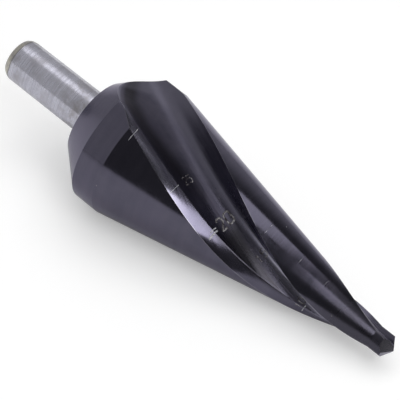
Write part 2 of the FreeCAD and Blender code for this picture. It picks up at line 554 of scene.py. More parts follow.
@dataclass(frozen=True)
class ShankForm:
    """Sizes of the shank in millimetres and degrees, as in the solid."""

    radius: float = 5.0
    length: float = 23.5
    chamfer_length: float = 1.3
    chamfer_width: float = 0.6
    chamfer_crown: float = 0.06
    neck_fillet: float = 0.6
    flat_width: float = 3.2
    flat_turn: float = 43.5
    flat_steps: int = 24
    round_steps: int = 48
    chamfer_rows: int = 8
    side_rows: int = 40
    fillet_rows: int = 8
    flats: int = 3
    chamfer_samples: int = 60

    def columns(self) -> tuple[np.ndarray, np.ndarray]:
        """Spreads the columns over the flats and the round parts between them.

        Returns:
            The columns' angles, and the radius at which the flats cut them.
        """
        half = math.degrees(math.asin(self.flat_width / 2 / self.radius))
        angles, limits = [], []
        distance = self.radius * math.cos(math.radians(half))
        spacing = 360.0 / self.flats
        across = np.linspace(-half, half, self.flat_steps, endpoint=False)
        beside = np.linspace(half, spacing - half, self.round_steps, endpoint=False)
        for number in range(self.flats):
            middle = self.flat_turn + spacing * number
            angles += [middle + across, middle + beside]
            limits += [distance / np.cos(np.radians(across)), np.full_like(beside, self.radius)]
        return np.concatenate(angles), np.concatenate(limits)

    def chamfer(self) -> np.ndarray:
        """Draws the crowned chamfer as an arc.

        Returns:
            Points of the arc, each a radius and a height.
        """
        foot = np.array([self.radius - self.chamfer_width, 0.0])
        top = np.array([self.radius, self.chamfer_length])
        outward = np.array([self.chamfer_length, -self.chamfer_width])
        crown = (foot + top) / 2 + outward / np.hypot(*outward) * self.chamfer_crown
        centre, radius = circle_through(foot, crown, top)
        ends = bearing(foot - centre), bearing(top - centre)
        return centre + radius * compass(np.linspace(*ends, self.chamfer_samples))

    def rows(self) -> np.ndarray:
        """Works out the shank from its end face to the shoulder.

        Returns:
            Its points in millimetres, as rows x columns x 3.
        """
        angles, limits = self.columns()
        chamfer = self.chamfer()
        heights = np.interp(limits, chamfer[:, 0], chamfer[:, 1])
        rings = []
        for share in np.linspace(0, 1, self.chamfer_rows + 1):
            z = heights * share
            rings.append((np.interp(z, chamfer[:, 1], chamfer[:, 0]), z))
        neck = self.length - self.neck_fillet
        for share in np.linspace(0, 1, self.side_rows + 1)[1:]:
            rings.append((limits, mix(heights, neck, share)))
        for bend in np.linspace(0, math.pi / 2, self.fillet_rows + 1):
            radius = self.radius + self.neck_fillet * (1 - math.cos(bend))
            z = neck + self.neck_fillet * math.sin(bend)
            rings.append((np.full_like(limits, radius), np.full_like(limits, z)))
        around = compass(np.radians(angles))
        return np.stack([np.column_stack([r[:, None] * around, z]) for r, z in rings])


class Bar(Enum):
    """The two finishes along the one bar, as material slots of its mesh."""

    COATED = 0
    GROUND = 1


class MeshDraft:
    """Points, faces, notes and sharp edges of a mesh while it is put together."""

    NO_NOTE = (0.0, 0.0, 9.0, 0.0)
    WELD_DIGITS = 5

    def __init__(self) -> None:
        """Starts an empty draft."""
        self.points: list[np.ndarray] = []
        self.faces: list[tuple[int, ...]] = []
        self.notes: list[list[tuple[float, ...]]] = []
        self.slots: list[int] = []
        self.sharp: set[tuple[int, int]] = set()
        self.count = 0

    def add_points(self, points: np.ndarray) -> np.ndarray:
        """Adds points.

        Args:
            points: An array of points.

        Returns:
            Their numbers, in the shape of the array.
        """
        flat = points.reshape(-1, 3)
        numbers = np.arange(self.count, self.count + len(flat)).reshape(points.shape[:-1])
        self.points.append(flat)
        self.count += len(flat)
        return numbers

    def add_face(
        self, corners: list[int], slot: Bar, notes: list[tuple[float, ...]] | None = None
    ) -> None:
        """Adds one face.

        Args:
            corners: Numbers of its points.
            slot: The finish.
            notes: A note for each corner, where there are any.
        """
        self.faces.append(tuple(int(corner) for corner in corners))
        self.notes.append(notes or [self.NO_NOTE] * len(corners))
        self.slots.append(slot.value)

    def add_patch(self, numbers: np.ndarray, slot: Bar, notes: np.ndarray) -> None:
        """Fills a grid of point numbers with faces.

        Args:
            numbers: Point numbers, rows x columns.
            slot: The finish.
            notes: Notes for the same grid.
        """
        numbered = [list(zip(*row)) for row in zip(numbers.tolist(), notes.tolist())]
        for low, high in zip(numbered, numbered[1:]):
            for left, right, over_left, over_right in zip(low, low[1:], high, high[1:]):
                corners, beside = zip(left, right, over_right, over_left)
                self.add_face(list(corners), slot, list(beside))

    def crease(self, line: np.ndarray) -> None:
        """Marks the edges along a line of point numbers as sharp."""
        self.sharp.update(zip(line.tolist(), line[1:].tolist()))

    def crease_ring(self, ring: np.ndarray) -> None:
        """Marks the edges all round a ring as sharp."""
        self.crease(np.append(ring, ring[0]))

    def build(self, name: str, place: RestPose) -> bpy.types.Object:
        """Makes the object, laid on the table.

        Args:
            name: The object's name.
            place: How the drill lies.

        Returns:
            The new object, linked to the scene.
        """
        points = np.concatenate(self.points)
        rounded = points.round(self.WELD_DIGITS)
        _, first, welded = np.unique(rounded, axis=0, return_index=True, return_inverse=True)
        welded = welded.reshape(-1)
        faces, slots, notes = [], [], []
        for corners, slot, beside in zip(self.faces, self.slots, self.notes):
            ring = [int(welded[corner]) for corner in corners]
            kept = [spot for spot, corner in enumerate(ring) if corner != ring[spot - 1]]
            if len({ring[spot] for spot in kept}) > 2:
                faces.append([ring[spot] for spot in kept])
                notes += [beside[spot] for spot in kept]
                slots.append(slot)
        sharp = {tuple(sorted(welded[list(edge)].tolist())) for edge in self.sharp}
        mesh = bpy.data.meshes.new(name)
        mesh.from_pydata(place.lay(points[first]).tolist(), [], faces)
        mesh.polygons.foreach_set("material_index", slots)
        mesh.polygons.foreach_set("use_smooth", [True] * len(faces))
        table = np.array(notes)
        for layer, columns in (("surface", table[:, :2]), ("heel", table[:, 2:])):
            mesh.uv_layers.new(name=layer).data.foreach_set("uv", columns.reshape(-1))
        flags = [tuple(sorted(edge.vertices)) in sharp for edge in mesh.edges]
        mesh.attributes.new("sharp_edge", "BOOLEAN", "EDGE").data.foreach_set("value", flags)
        mesh.update()
        return place_object(name, mesh)


@dataclass(frozen=True)
class DrillBody:
    """The whole drill as one closed mesh: coated head and bright ground shank."""

    grid: HeadGrid = HeadGrid()
    shank: ShankForm = ShankForm()
    place: RestPose = RestPose()

    def build(self) -> bpy.types.Object:
        """Builds the drill's mesh.

        Returns:
            The drill's object, with its finishes still to be given.
        """
        draft = MeshDraft()
        rows = self.grid.rows()
        head = draft.add_points(rows)
        around = closed(head)
        starts, widths = (0, self.grid.flute_steps), (self.grid.flute_steps, self.grid.land_steps)
        for notes, first, width in zip(self.grid.notes(rows), starts, widths):
            for half in (0, 1):
                start = half * self.grid.half + first
                draft.add_patch(around[:, start:start + width + 1], Bar.COATED, notes[:, half])
        self._crease_head(draft, head)
        self._close_point(draft, head[-1])

        bare = self.shank.rows()
        shank = draft.add_points(bare)
        draft.add_patch(closed(shank), Bar.GROUND, self._shank_notes(bare))
        self._crease_shank(draft, shank)
        end = int(draft.add_points(np.zeros((1, 3)))[0])
        for first, second in zip(shank[0], np.roll(shank[0], -1)):
            draft.add_face([end, second, first], Bar.GROUND)
        self._close_shoulder(draft, shank[-1], head[0])
        return draft.build("drill_body", self.place)

    def _shank_notes(self, bare: np.ndarray) -> np.ndarray:
        """Notes down the distance round the shank and the height.

        Args:
            bare: The shank's points.

        Returns:
            Notes for the shank's columns and the first column again.
        """
        turn = np.unwrap(bearings(bare), axis=1)
        turn = np.concatenate([turn, turn[:, :1] + math.tau], axis=1)
        height = closed(bare[..., 2])
        far = np.full_like(turn, MeshDraft.NO_NOTE[2])
        return np.stack([turn * self.shank.radius, height, far, np.zeros_like(turn)], axis=2)

    def _crease_head(self, draft: MeshDraft, head: np.ndarray) -> None:
        """Marks cutting edges, heel edges, and the rings at the chamfer and the cone.

        Args:
            draft: The mesh.
            head: The head's point numbers.
        """
        grid = self.grid
        cylinder = grid.rear_rows + grid.chamfer_rows
        for start in (0, grid.half):
            draft.crease(head[grid.rear_rows:, start])
            draft.crease(head[grid.rear_rows:, start + grid.flute_steps])
            land = np.arange(start + grid.flute_steps, start + grid.half + 1) % (2 * grid.half)
            for row in (cylinder, cylinder + grid.cylinder_rows):
                draft.crease(head[row][land])
        draft.crease_ring(head[0])
        draft.crease_ring(head[-1])

    def _close_point(self, draft: MeshDraft, ring: np.ndarray) -> None:
        """Closes the point, where every facet runs straight from the ring to the tip.

        Args:
            draft: The mesh.
            ring: Point numbers of the head's last ring.
        """
        form = self.grid.form
        tip = int(draft.add_points(np.array([[0.0, 0.0, form.z_tip]]))[0])
        angle = np.degrees(bearings(draft.points[0][ring]))
        facet = form.facet_depths(angle).argmax(axis=0)
        after = np.roll(ring, -1)
        for first, second, changes in zip(ring, after, facet != np.roll(facet, -1)):
            draft.add_face([first, second, tip], Bar.COATED)
            if changes:
                draft.crease(np.array([second, tip]))

    def _crease_shank(self, draft: MeshDraft, shank: np.ndarray) -> None:
        """Marks the flats' borders, the chamfer's rings and the steps at the neck.

        Args:
            draft: The mesh.
            shank: The shank's point numbers.
        """
        form = self.shank
        neck = form.chamfer_rows + form.side_rows
        step = form.flat_steps + form.round_steps
        for start in range(0, form.flats * step, step):
            for column in (start, start + form.flat_steps):
                draft.crease(shank[form.chamfer_rows:neck + 1, column])
        for row in (0, form.chamfer_rows, neck, neck + 1):
            draft.crease_ring(shank[row])
        draft.crease_ring(shank[-1])

    def _close_shoulder(self, draft: MeshDraft, inner: np.ndarray, outer: np.ndarray) -> None:
        """Closes the flat shoulder with a ring of triangles.

        Args:
            draft: The mesh.
            inner: Point numbers of the neck's last ring.
            outer: Point numbers of the head's first ring.
        """
        points = np.concatenate(draft.points)

        def turns(ring: np.ndarray) -> np.ndarray:
            """Angles round a ring, always growing."""
            return np.unwrap(bearings(points[ring]))

        outer_turn = turns(outer)
        apart = (turns(inner) - outer_turn[0] + math.pi) % math.tau - math.pi
        inner = np.roll(inner, -int(np.argmin(np.abs(apart))))
        inner_turn = turns(inner)
        inner_turn += math.tau * round((outer_turn[0] - inner_turn[0]) / math.tau)
        inner_turn = np.append(inner_turn, inner_turn[0] + math.tau)
        outer_turn = np.append(outer_turn, outer_turn[0] + math.tau)
        inner, outer = np.append(inner, inner[0]), np.append(outer, outer[0])
        inner_last, outer_last = len(inner) - 1, len(outer) - 1
        i = o = 0
        while i < inner_last or o < outer_last:
            outer_done = o == outer_last
            if outer_done or (i < inner_last and inner_turn[i + 1] < outer_turn[o + 1]):
                draft.add_face([inner[i], inner[i + 1], outer[o]], Bar.COATED)
                i += 1
            else:
                draft.add_face([inner[i], outer[o + 1], outer[o]], Bar.COATED)
                o += 1


@dataclass(frozen=True)
class Stroke:
    """One engraved line: points in millimetres, counted from a place in the flute or on a land."""

    z: float
    angle: float
    points: tuple[tuple[float, float], ...]
    width: float


@dataclass(frozen=True)
class Number:
    """A plain number of the diameter scale, written across the flute."""

    text: str
    z: float
    angle: float
    height: float
    width: float

    SHAPES = {
        "0": ((0.1, 0), (0.5, 0), (0.6, 0.15), (0.6, 0.85), (0.5, 1), (0.1, 1), (0, 0.85),
              (0, 0.15), (0.1, 0)),
        "1": ((0.1, 0.75), (0.3, 1), (0.3, 0)),
        "2": ((0, 0.8), (0.1, 1), (0.5, 1), (0.6, 0.85), (0.6, 0.6), (0, 0), (0.6, 0)),
        "5": ((0.6, 1), (0, 1), (0, 0.58), (0.45, 0.62), (0.6, 0.48), (0.6, 0.15), (0.5, 0),
              (0.1, 0), (0, 0.12)),
    }
    ADVANCE = 0.9
    GAP = 0.3

    def strokes(self) -> list[Stroke]:
        """Draws the figures, centred on the number's place.

        Returns:
            One stroke for each figure.
        """
        size, advance = self.height, self.ADVANCE * self.height
        left = (advance * len(self.text) - self.GAP * size) / 2
        strokes = []
        for figure in self.text:
            shape = self.SHAPES[figure]
            points = tuple((left - size * across, size * (0.5 - up)) for across, up in shape)
            strokes.append(Stroke(self.z, self.angle, points, self.width))
            left -= advance
        return strokes


@dataclass(frozen=True)
class DiameterScale:
    """Marks engraved in the upper flute, fine scores on the lands beside it, and three small specks
    on the head that are painted glints.
    """

    form: HeadForm = HeadForm()
    place: RestPose = RestPose()
    ticks: tuple[Stroke, ...] = (
        Stroke(37.7, 70.2, ((-1.6, 0.0), (1.5, 0.0)), 0.1),
        Stroke(50.5, 64.3, ((-1.35, 0.0), (1.3, 0.0)), 0.16),
        Stroke(61.7, 58.6, ((-1.5, 0.0), (1.3, 0.0)), 0.5),
        Stroke(61.1, 56.5, ((-1.3, 0.0), (0.6, 0.0)), 0.3),
        Stroke(83.8, 52.0, ((-1.0, 0.2), (0.9, 0.0)), 0.22),
    )
    numbers: tuple[Number, ...] = (
        Number("25", 50.2, 46.0, 1.7, 0.2),
        Number("20", 61.2, 37.0, 2.5, 0.55),
        Number("15", 71.2, 26.0, 1.7, 0.3),
        Number("10", 82.8, 46.0, 1.5, 0.24),
    )
    scores_and_glints: tuple[Stroke, ...] = (
        Stroke(69.8, -16.0, ((-1.45, 0.0), (1.45, 0.1)), 0.12),
        Stroke(78.5, -40.0, ((-0.9, 0.0), (0.8, 0.1)), 0.1),
        Stroke(85.2, -63.0, ((-0.8, 0.1), (0.0, -0.1), (0.8, 0.0)), 0.13),
        # Three small specks: painted glints, not scores.
        Stroke(36.7, 123.3, ((-0.12, 0.0), (0.12, 0.05)), 0.2),
        Stroke(71.8, -46.3, ((-0.12, 0.0), (0.12, 0.08)), 0.24),
        Stroke(89.8, -23.5, ((-0.14, 0.0), (0.16, 0.05)), 0.3),
    )
    longest_run: float = 0.15
    proud: float = 0.012
    sunk: float = 0.03
    top_share: float = 0.6
    probe: float = 0.01

    def build(self) -> list[bpy.types.Object]:
        """Builds the marks.

        Returns:
            The objects of the ticks, the numbers, and the scores with the painted glints.
        """
        figures = [stroke for number in self.numbers for stroke in number.strokes()]
        pieces = {"scale_ticks": self.ticks, "scale_numbers": figures, "land_scores_and_glints": self.scores_and_glints}
        built = []
        for name, strokes in pieces.items():
            draft = MeshDraft()
            for stroke in strokes:
                self._lay_bead(draft, stroke)
            built.append(draft.build(name, self.place))
        return built

    def surface(self, stroke: Stroke, along: float, rise: float) -> np.ndarray:
        """Point of the head's surface beside a stroke's place.

        Args:
            stroke: The stroke, which gives the place.
            along: Distance across the flute or the land, towards the heel line.
            rise: Height above the stroke's place.

        Returns:
            The point on the upright drill, in millimetres.
        """
        z = stroke.z + rise
        if 0 < stroke.angle < self.form.flute_width:
            outline = FluteOutline(self.form, z)
            runs = np.linspace(outline.knots[1], outline.knots[4], FluteOutline.SAMPLES)
            table = outline.point(runs)
            start = np.interp(stroke.angle, np.degrees(bearings(table)), runs)
            flat = outline.point(np.array([start + along]))[0]
            flat = flat * min(1.0, self.form.blank_radius(z) / float(np.hypot(*flat)))
        else:
            radius = self.form.blank_radius(z)
            flat = polar(radius, stroke.angle + math.degrees(along / radius))
        return np.append(flat @ spin(self.form.edge_angle(z)), z)

    def _lay_bead(self, draft: MeshDraft, stroke: Stroke) -> None:
        """Adds a closed flat bead, sunk at its sides and barely proud along its middle.

        Args:
            draft: The mesh.
            stroke: The line that the bead follows.
        """
        points = [np.array(stroke.points[0])]
        for start, end in zip(stroke.points, stroke.points[1:]):
            count = max(1, math.ceil(math.dist(start, end) / self.longest_run))
            spread = range(1, count + 1)
            points += [mix(np.array(start), np.array(end), step / count) for step in spread]
        middle, up = [], []
        for along, rise in points:
            here = self.surface(stroke, along, rise)
            across = self.surface(stroke, along + self.probe, rise) - here
            higher = self.surface(stroke, along, rise + self.probe) - here
            normal = np.cross(across, higher)
            middle.append(here)
            up.append(normal / np.linalg.norm(normal))
        middle, up = np.stack(middle), np.stack(up)
        side = np.cross(up, np.gradient(middle, axis=0))
        side *= stroke.width / 2 / np.linalg.norm(side, axis=1, keepdims=True)
        foot, top = middle - up * self.sunk, middle + up * self.proud
        narrow = side * self.top_share
        lines = np.stack([foot - side, top - narrow, top + narrow, foot + side], axis=1)
        numbers = draft.add_points(lines)
        for low, high in zip(numbers, numbers[1:]):
            for corner in range(4):
                after = (corner + 1) % 4
                draft.add_face([low[corner], low[after], high[after], high[corner]], Bar.COATED)
        draft.add_face(list(numbers[0][::-1]), Bar.COATED)
        draft.add_face(list(numbers[-1]), Bar.COATED)


class NodeDesk:
    """Short ways to add and join the nodes of one tree."""

    def __init__(self, tree: bpy.types.NodeTree) -> None:
        """Works on a tree."""
        self.tree = tree

    @classmethod
    def of_material(cls, name: str) -> tuple["NodeDesk", bpy.types.Material, bpy.types.Node]:
        """Starts a material.

        Args:
            name: The material's name.

        Returns:
            Its desk, the material and its Principled shader.
        """
        material = bpy.data.materials.new(name)
        material.use_nodes = True
        desk = cls(material.node_tree)
        return desk, material, desk.tree.nodes["Principled BSDF"]

    def add(self, kind: str, **settings: object) -> bpy.types.Node:
        """Adds a node and sets its fields, or the values of its named inputs.

        Args:
            kind: The node's type.
            settings: Fields or inputs by name, with _ for a blank.

        Returns:
            The node.
        """
        node = self.tree.nodes.new(kind)
        for key, value in settings.items():
            if hasattr(node, key):
                setattr(node, key, value)
            else:
                node.inputs[key.replace("_", " ")].default_value = value
        return node

    def feed(self, source: object, socket: Socket) -> None:
        """Joins an output to an input, or sets the input.

        Args:
            source: An output, a number or a colour.
            socket: The input.
        """
        if isinstance(source, Socket):
            self.tree.links.new(source, socket)
        else:
            socket.default_value = (*source, 1.0) if isinstance(source, tuple) else source

    def calc(self, operation: str, *terms: object, clamp: bool = False) -> Socket:
        """Does one step of arithmetic.

        Args:
            operation: The Math node's operation.
            terms: Outputs or numbers.
            clamp: Whether the result stays from 0 to 1.

        Returns:
            The result.
        """
        node = self.add("ShaderNodeMath", operation=operation, use_clamp=clamp)
        for term, socket in zip(terms, node.inputs):
            self.feed(term, socket)
        return node.outputs[0]

    def times(self, first: object, second: object) -> Socket:
        """Product of two outputs or numbers."""
        return self.calc("MULTIPLY", first, second)

    def _mixed(self, kind: str, first: int, result: int, terms: tuple[object, ...]) -> Socket:
        """Blends two terms by a share.

        Args:
            kind: The Mix node's data type.
            first: Number of the input for the first term.
            result: Number of the output.
            terms: The share and the two terms.

        Returns:
            The blend.
        """
        node = self.add("ShaderNodeMix", data_type=kind)
        for term, number in zip(terms, (0, first, first + 1)):
            self.feed(term, node.inputs[number])
        return node.outputs[result]

    def blend(self, share: object, start: object, end: object) -> Socket:
        """Blend of two numbers by a share."""
        return self._mixed("FLOAT", 2, 0, (share, start, end))

    def tint(self, share: object, start: object, end: object) -> Socket:
        """Blend of two colours by a share."""
        return self._mixed("RGBA", 6, 2, (share, start, end))

    def rise(self, value: object, low: float, high: float) -> Socket:
        """Steps smoothly up from one value to another.

        Args:
            value: The value.
            low, high: Where the step starts and ends.

        Returns:
            0 at the low value and 1 at the high one.
        """
        span = {"From_Min": low, "From_Max": high}
        node = self.add("ShaderNodeMapRange", interpolation_type="SMOOTHSTEP", **span)
        self.feed(value, node.inputs["Value"])
        return node.outputs["Result"]

    def fall(self, value: object, low: float, high: float) -> Socket:
        """Smooth step from 1 at the low value to 0 at the high one."""
        return self.calc("SUBTRACT", 1.0, self.rise(value, low, high))

    def window(self, value: object, start: Span, end: Span) -> Socket:
        """Mask that rises over one span of a value and falls over a later one."""
        return self.times(self.rise(value, *start), self.fall(value, *end))

    def spot(self, layer: str) -> tuple[Socket, Socket]:
        """Reads a UV layer.

        Args:
            layer: The layer's name.

        Returns:
            The two numbers that it holds.
        """
        cut = self.add("ShaderNodeSeparateXYZ")
        self.feed(self.add("ShaderNodeUVMap", uv_map=layer).outputs[0], cut.inputs[0])
        return cut.outputs[0], cut.outputs[1]

    def effect(self, group: bpy.types.NodeTree, *terms: object) -> Socket:
        """Places a node group.

        Args:
            group: The group.
            terms: What its inputs get, in their order.

        Returns:
            Its one output.
        """
        node = self.add("ShaderNodeGroup", node_tree=group)
        for term, socket in zip(terms, node.inputs):
            self.feed(term, socket)
        return node.outputs[0]

    def relief(self, height: Socket, strength: float, depth: float) -> Socket:
        """Raises a relief.

        Args:
            height: The relief, from 0 to 1.
            strength: How strongly it shows.
            depth: Its depth in millimetres.

        Returns:
            The surface's normal.
        """
        node = self.add("ShaderNodeBump", Strength=strength, Distance=depth * MM)
        self.feed(height, node.inputs["Height"])
        return node.outputs[0]


@dataclass(frozen=True)
class Effects:
    """Node groups that more than one finish uses."""

    lines: bpy.types.NodeTree
    stains: bpy.types.NodeTree
    wear: bpy.types.NodeTree

    LINE_CONTRAST = (0.25, 0.75)
    STAIN_CONTRAST = (0.42, 0.68)
    WEAR_FADES = (0.35, 1.0)
    WEAR_GRAIN = 900.0

    @classmethod
    def make(cls) -> "Effects":
        """Builds the groups."""
        return cls(cls._lines(), cls._stains(), cls._wear())

    @staticmethod
    def _group(
        name: str, terms: tuple[str, ...], result: str
    ) -> tuple[NodeDesk, list[Socket], Socket]:
        """Starts a group with number inputs and one number output.

        Args:
            name: The group's name.
            terms: Names of its inputs.
            result: Name of its output.

        Returns:
            Its desk, what its inputs give, and where its result goes.
        """
        tree = bpy.data.node_groups.new(name, "ShaderNodeTree")
        for term in terms:
            tree.interface.new_socket(name=term, in_out="INPUT", socket_type="NodeSocketFloat")
        tree.interface.new_socket(name=result, in_out="OUTPUT", socket_type="NodeSocketFloat")
        desk = NodeDesk(tree)
        given = [desk.add("NodeGroupInput").outputs[term] for term in terms]
        return desk, given, desk.add("NodeGroupOutput").inputs[result]

    @classmethod
    def _lines(cls) -> bpy.types.NodeTree:
        """Builds grinding lines: long streaks at a pitch, with finer ones between them.

        Returns:
            The group.
        """
        terms = ("Across", "Along", "Pitch", "Length")
        desk, (across, along, pitch, length), out = cls._group("grinding_lines", terms, "Lines")
        place = desk.add("ShaderNodeCombineXYZ")
        desk.feed(desk.calc("DIVIDE", across, pitch), place.inputs[0])
        desk.feed(desk.calc("DIVIDE", along, length), place.inputs[1])
        noise = desk.add("ShaderNodeTexNoise", noise_dimensions="2D", Scale=1.0, Detail=4.0,
                         Roughness=0.6)
        desk.feed(place.outputs[0], noise.inputs["Vector"])
        desk.feed(desk.rise(noise.outputs[0], *cls.LINE_CONTRAST), out)
        return desk.tree

    @classmethod
    def _stains(cls) -> bpy.types.NodeTree:
        """Builds soft clouds of handling marks.

        Returns:
            The group.
        """
        desk, (size, cover), out = cls._group("stains", ("Size", "Cover"), "Mask")
        where = desk.add("ShaderNodeVectorMath", operation="SCALE")
        desk.feed(desk.add("ShaderNodeTexCoord").outputs["Object"], where.inputs[0])
        desk.feed(desk.calc("DIVIDE", 1.0 / MM, size), where.inputs["Scale"])
        noise = desk.add("ShaderNodeTexNoise", Scale=1.0, Detail=5.0, Roughness=0.65)
        desk.feed(where.outputs[0], noise.inputs["Vector"])
        spread = desk.calc("ADD", noise.outputs[0], desk.calc("SUBTRACT", cover, 0.5))
        desk.feed(desk.rise(spread, *cls.STAIN_CONTRAST), out)
        return desk.tree

    @classmethod
    def _wear(cls) -> bpy.types.NodeTree:
        """Builds a rubbed edge, also used as a painted edge highlight: full at distance 0 and gone,
        unevenly, at the width.

        Returns:
            The group.
        """
        desk, (distance, width), out = cls._group("edge_wear_and_highlight", ("Distance", "Width"), "Mask")
        where = desk.add("ShaderNodeTexCoord")
        noise = desk.add("ShaderNodeTexNoise", Scale=cls.WEAR_GRAIN, Detail=3.0)
        desk.feed(where.outputs["Object"], noise.inputs["Vector"])
        uneven = desk.times(width, desk.times(noise.outputs[0], 2.0))
        far = desk.calc("DIVIDE", desk.calc("ABSOLUTE", distance), uneven)
        desk.feed(desk.fall(far, *cls.WEAR_FADES), out)
        return desk.tree


@dataclass(frozen=True)
class CoatedSteel:
    """Dark glossy hard coating: fine turned lands, streaky flutes, edges rubbed bright.

    The bright edges are partly rubbed wear and partly a painted highlight. The colour also
    holds painted shade deep in the flutes and on the lands at the point, and painted
    highlights on the heel strip and the front face.

    Spans are distances in millimetres, from the heel line, from the cutting edge or up the
    drill. A grain is the pitch and the length of its lines, and a relief its strength and depth.
    """

    effects: Effects
    colour: Colour = (0.098, 0.094, 0.129)
    clouded: Colour = (0.132, 0.125, 0.165)
    banded: Colour = (0.116, 0.109, 0.15)
    # Painted shade: the darker colour laid deep in the flutes and on the lands at the point.
    painted_shade_colour: Colour = (0.042, 0.04, 0.048)
    # Painted highlight: the lighter colour of the heel strip and the front face.
    painted_highlight_colour: Colour = (0.33, 0.32, 0.4)
    # Colour of the rubbed edges, which is partly a painted highlight along them.
    bare: Colour = (0.42, 0.41, 0.45)
    grazing_tint: tuple[float, float, float, float] = (0.93, 0.91, 1.0, 1.0)
    turned_grain: Span = (0.35, 14.0)
    band_grain: Span = (2.4, 30.0)
    streak_grain: Span = (0.9, 26.0)
    cloud_size: float = 5.0
    cloud_cover: float = 0.48
    cloud_on_land: float = 0.4
    cloud_in_flute: float = 0.8
    turned_share: float = 0.16
    relief: Span = (0.5, 0.02)
    # Where the painted shade falls, by distance from the heel line and the cutting edge, and by
    # height.
    rear_shade: tuple[Span, Span] = ((1.8, 3.8), (6.0, 10.0))
    rear_fades: Span = (46.0, 58.0)
    front_shade: Span = (5.4, 7.2)
    front_heel: Span = (1.6, 3.2)
    front_reach: tuple[Span, Span] = ((59.0, 65.0), (78.0, 86.0))
    # Where the painted highlight lies, and how strong it is.
    highlight_starts: Span = (0.0, 0.1)
    heel_highlight: Span = (0.7, 1.8)
    heel_highlight_share: float = 0.5
    face_highlight: Span = (3.6, 6.2)
    face_grows: Span = (62.0, 74.0)
    face_share_behind: float = 0.24
    face_share: float = 0.85
    face_ends: Span = (87.0, 93.0)
    land_roughness: float = 0.13
    point_roughness: float = 0.27
    # Where the point dulls, and how much painted shade darkens its lands.
    point_dulls_and_shades: Span = (78.0, 93.0)
    point_shade_share: float = 0.6
    flute_roughness: float = 0.24
    flute_roughness_behind: float = 0.42
    flute_smoothed: Span = (36.0, 62.0)
    line_roughness: float = 0.05
    cloud_roughness: float = 0.04
    # Rubbed edges: partly wear of the coating, partly a painted highlight.
    edge_width: float = 0.11
    heel_width: float = 0.08
    rubbed_and_highlit_share: float = 0.45

    def material(self) -> bpy.types.Material:
        """Builds the material.

        Returns:
            The material of the drill's head.
        """
        desk, material, shader = NodeDesk.of_material("coated_steel")
        edge, height = desk.spot("surface")
        heel, floor = desk.spot("heel")
        turned = desk.effect(self.effects.lines, height, edge, *self.turned_grain)
        bands = desk.effect(self.effects.lines, height, edge, *self.band_grain)
        streaks = desk.effect(self.effects.lines, edge, height, *self.streak_grain)
        clouds = desk.effect(self.effects.stains, self.cloud_size, self.cloud_cover)
        lines = desk.blend(floor, desk.times(turned, self.turned_share), streaks)
        # Edge and heel masks: partly rubbed wear, partly a painted thin highlight.
        edge_wear_and_highlight = desk.effect(self.effects.wear, edge, self.edge_width)
        heel_wear_and_highlight = desk.effect(self.effects.wear, heel, self.heel_width)
        rubbed_and_highlit = desk.times(desk.calc("MAXIMUM", edge_wear_and_highlight, heel_wear_and_highlight), self.rubbed_and_highlit_share)
        inward = desk.times(heel, -1.0)
        # Towards the point the gloss dulls, and the lands get painted shade.
        toward_point = desk.rise(height, *self.point_dulls_and_shades)
        painted_shade_on_point = desk.times(desk.calc("SUBTRACT", 1.0, floor), toward_point)

        cloudy = desk.blend(floor, self.cloud_on_land, self.cloud_in_flute)
        coat = desk.tint(desk.blend(floor, bands, streaks), self.colour, self.banded)
        coat = desk.tint(desk.times(clouds, cloudy), coat, self.clouded)
        # Painted shade, painted highlight and the point's painted shade go on over the coat.
        coat = desk.tint(self._painted_shade_mask(desk, edge, inward, height), coat, self.painted_shade_colour)
        coat = desk.tint(self._painted_highlight_mask(desk, edge, inward, height), coat, self.painted_highlight_colour)
        coat = desk.tint(desk.times(painted_shade_on_point, self.point_shade_share), coat, self.painted_shade_colour)
        desk.feed(desk.tint(rubbed_and_highlit, coat, self.bare), shader.inputs["Base Color"])

        forward = desk.rise(height, *self.flute_smoothed)
        flute = desk.blend(forward, self.flute_roughness_behind, self.flute_roughness)
        land = desk.blend(toward_point, self.land_roughness, self.point_roughness)
        gloss = desk.calc("ADD", desk.blend(floor, land, flute),
                          desk.times(lines, self.line_roughness))
        gloss = desk.calc("ADD", gloss, desk.times(clouds, self.cloud_roughness))
        desk.feed(gloss, shader.inputs["Roughness"])
        desk.feed(desk.relief(lines, *self.relief), shader.inputs["Normal"])
        shader.inputs["Metallic"].default_value = 1.0
        shader.inputs["Specular Tint"].default_value = self.grazing_tint
        return material

    def _painted_shade_mask(self, desk: NodeDesk, edge: Socket, inward: Socket, height: Socket) -> Socket:
        """Masks painted shade deep in the flute: along the wall near the heel behind, and across
        the floor further forward.

        Args:
            desk: The material's desk.
            edge: Distance from the cutting edge.
            inward: Distance from the heel line, into the flute.
            height: Height along the drill.

        Returns:
            The mask.
        """
        rear = desk.times(desk.window(inward, *self.rear_shade),
                          desk.fall(height, *self.rear_fades))
        front = desk.times(desk.rise(edge, *self.front_shade),
                           desk.rise(inward, *self.front_heel))
        front = desk.times(front, desk.window(height, *self.front_reach))
        return desk.calc("MAXIMUM", rear, front)

    def _painted_highlight_mask(self, desk: NodeDesk, edge: Socket, inward: Socket, height: Socket) -> Socket:
        """Masks painted highlight: the bright band along the front face and the strip by the rear
        heel.

        Args:
            desk: The material's desk.
            edge: Distance from the cutting edge.
            inward: Distance from the heel line, into the flute.
            height: Height along the drill.

        Returns:
            The mask.
        """
        strip = desk.times(desk.window(inward, self.highlight_starts, self.heel_highlight),
                           desk.fall(height, *self.rear_fades))
        grown = desk.rise(height, *self.face_grows)
        face = desk.times(desk.window(edge, self.highlight_starts, self.face_highlight),
                          desk.blend(grown, self.face_share_behind, self.face_share))
        face = desk.times(face, desk.fall(height, *self.face_ends))
        return desk.calc("ADD", desk.times(strip, self.heel_highlight_share), face, clamp=True)


